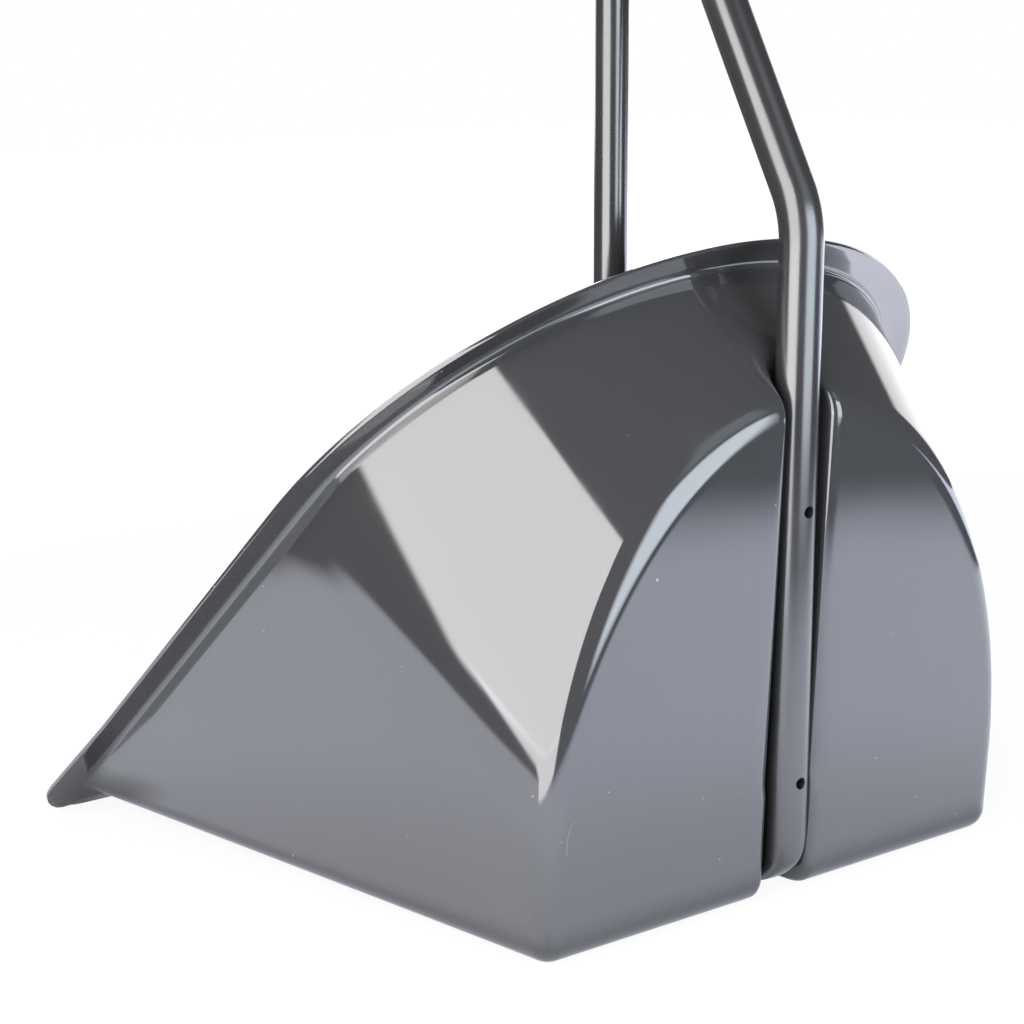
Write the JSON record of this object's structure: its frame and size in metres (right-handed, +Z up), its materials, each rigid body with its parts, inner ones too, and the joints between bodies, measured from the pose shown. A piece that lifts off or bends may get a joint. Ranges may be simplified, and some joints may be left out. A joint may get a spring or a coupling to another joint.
{
  "type": "manure scoop with rake",
  "caption": "Stable scoop: hooded plastic pan with a sloping flanged mouth and a bent tube handle set in a groove of its back, with a tined rake standing in the pan.",
  "frame": {"origin": "on the ground under the middle of the pan, halfway from the lip to the back", "axes": "+Z up, -Y towards the lip that is pushed along the ground, +Y towards the back wall and the foot of the handle"},
  "size_m": [0.4584, 0.3279, 0.8242],
  "materials": {
    "pan_plastic": "glossy thermoformed sheet, charcoal black",
    "handle_paint": "satin black paint on steel tube",
    "rake_paint": "satin black paint on forged steel",
    "grip_rubber": "matt ribbed rubber",
    "zinc_steel": "zinc plated"
  },
  "bodies": {
    "scoop": {"scoop_pan": "pan_plastic", "handle_tube": "handle_paint", "handle_grip": "grip_rubber", "handle_screws": "zinc_steel", "screw_washers": "zinc_steel"},
    "rake": {"rake_tube": "handle_paint", "rake_grip": "grip_rubber", "rake_socket": "rake_paint", "rake_rivet": "zinc_steel", "rake_bar": "rake_paint", "rake_tine_1": "rake_paint", "rake_tine_2": "rake_paint", "rake_tine_3": "rake_paint", "rake_tine_4": "rake_paint", "rake_tine_5": "rake_paint", "rake_tine_6": "rake_paint", "rake_tine_7": "rake_paint", "rake_tine_8": "rake_paint"}
  },
  "joints": [
    {"name": "rake_lift", "type": "slide", "parent": "scoop", "child": "rake", "axis": [0.1191, -0.7226, 0.6809], "range_m": [0, 0.45]}
  ]
}
